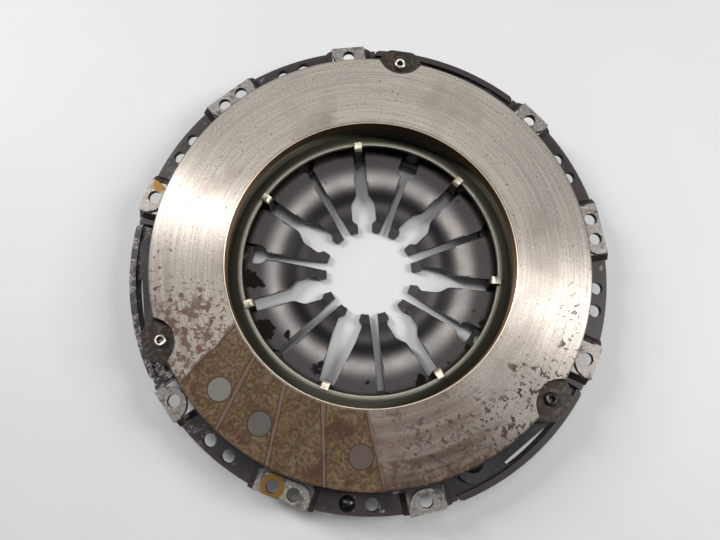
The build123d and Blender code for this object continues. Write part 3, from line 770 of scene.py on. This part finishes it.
# Rust: a ring that a screw head held wet, and a spot beside a single lug.
rust_wander = 0.003
for x, y, outer, inner in ((-0.0516, -0.1193, 0.0072, 0.0048), (-0.1214, 0.0458, 0.0046, 0.0001)):
    off = add_node(
        tree, "VectorMath", {0: place, 1: (x, y, 0.0)}, operation="DISTANCE"
    ).outputs["Value"]
    ragged = add_node(
        tree, "MapRange", {"Value": scuffs, "To Min": -rust_wander, "To Max": rust_wander}
    ).outputs["Result"]
    off = add_node(tree, "Math", {0: off, 1: ragged}, operation="ADD").outputs[0]
    lug_face = painted(
        tree,
        lug_face,
        (linear("#5F4519"), (off, outer, outer - 0.0012)),
        (linear("#5E4226"), (off, inner, inner - 0.0006)),
    )
# The side that was slid across benches is speckled with bare steel.
worn_side = (-0.98, -0.17, 0.0)
toward_wear = add_node(
    tree, "VectorMath", {0: around, 1: worn_side}, operation="DOT_PRODUCT"
).outputs["Value"]
hook_reach = (0.0765, 0.0755)
lug_rim = ((radius, 0.1325, 0.1332), (height, -0.0046, -0.0042))
outboard = masked(tree, (radius, 0.115, 0.117))
on_hook = masked(tree, (radius, *hook_reach), (height, -0.004, -0.003))
on_lug = masked(tree, (height, -0.0005, -0.0002), outboard)
speckled = masked(
    tree, (toward_wear, 0.72, 0.95), (scuffs, 0.47, 0.56), (grain, 0.42, 0.52), outboard
)
colour = painted(
    tree,
    linear("#171112"),
    (linear("#251C1C"), (clouds, 0.5, 0.68)),
    (linear("#5E5754"), (scuffs, 0.6, 0.68), outboard),
    (linear("#231B1C"), *lug_rim),
    (linear("#6A6361"), speckled),
    (linear("#A59D8C"), on_hook),
    (lug_face, on_lug),
)
rough = add_node(
    tree, "MapRange", {"Value": grain, "To Min": 0.34, "To Max": 0.55}
).outputs["Result"]
shader = finish_surface(tree, colour, rough, grain, distance=0.00004, metallic=0.0)
shader.inputs["Specular IOR Level"].default_value = 0.22
lug_steel = 0.6
steel = add_node(tree, "Math", {0: on_lug, 1: lug_steel}, operation="MULTIPLY").outputs[0]
steel = add_node(tree, "Math", {0: steel, 1: on_hook}, operation="MAXIMUM").outputs[0]
tree.links.new(steel, shader.inputs["Metallic"])
# Paint is thinnest on an edge, so handling leaves a broken line of grey steel along each, with
# 8 mm scuffs and 1.1 mm grain, and a bright one round the hooks.
worn_edge = bpy.data.materials.new("worn_sheet_edge")
worn_edge.use_nodes = True
tree = worn_edge.node_tree
place, height, radius, _ = from_axis(tree)
scuffs = add_node(tree, "TexNoise", {"Vector": place, "Scale": 120.0, "Detail": 4.0}).outputs["Fac"]
grain = add_node(tree, "TexNoise", {"Vector": place, "Scale": 900.0, "Detail": 2.0}).outputs["Fac"]
colour = painted(
    tree,
    linear("#2A2526"),
    (linear("#6C6662"), (scuffs, 0.5, 0.62)),
    (linear("#B8B1A4"), (radius, *hook_reach), (height, -0.005, -0.003)),
)
rough = add_node(
    tree, "MapRange", {"Value": grain, "To Min": 0.3, "To Max": 0.5}
).outputs["Result"]
finish_surface(tree, colour, rough, grain, distance=0.00003, metallic=0.8)
sheet = [stoved_sheet, worn_edge]
cover = dressed("cover", "pressed_cover", edge=0.00035, materials=sheet)
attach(cover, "cover")

# ---- seat rivets and balance rivet: cold-headed steel. The seat rivets hold each strap to the
# cover, and the balance rivet fills one hole of a pad. They were stoved with the cover.
blackened = bpy.data.materials.new("blackened_rivet_steel")
blackened.use_nodes = True
tree = blackened.node_tree
place = add_node(tree, "TexCoord").outputs["Object"]
# Stoving blackens them, and a headed rivet is smoother than sheet, so they shine more. The skin
# has 1.7 mm grain.
grain = add_node(tree, "TexNoise", {"Vector": place, "Scale": 600.0, "Detail": 3.0}).outputs["Fac"]
colour = painted(tree, linear("#1B1A1C"), (linear("#3A3939"), (grain, 0.5, 0.7)))
rough = add_node(
    tree, "MapRange", {"Value": grain, "To Min": 0.2, "To Max": 0.4}
).outputs["Result"]
finish_surface(tree, colour, rough, grain, distance=0.00003, metallic=0.85)
for number in (1, 2, 3):
    node = f"seat_rivet_{number}"
    name = f"headed_rivet_{number}"
    rivet = dressed(node, name, edge=0.0003, materials=[blackened])
    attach(rivet, "cover")
weight = dressed("balance_rivet", "balance_dome", edge=0.0002, materials=[blackened])
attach(weight, "cover")
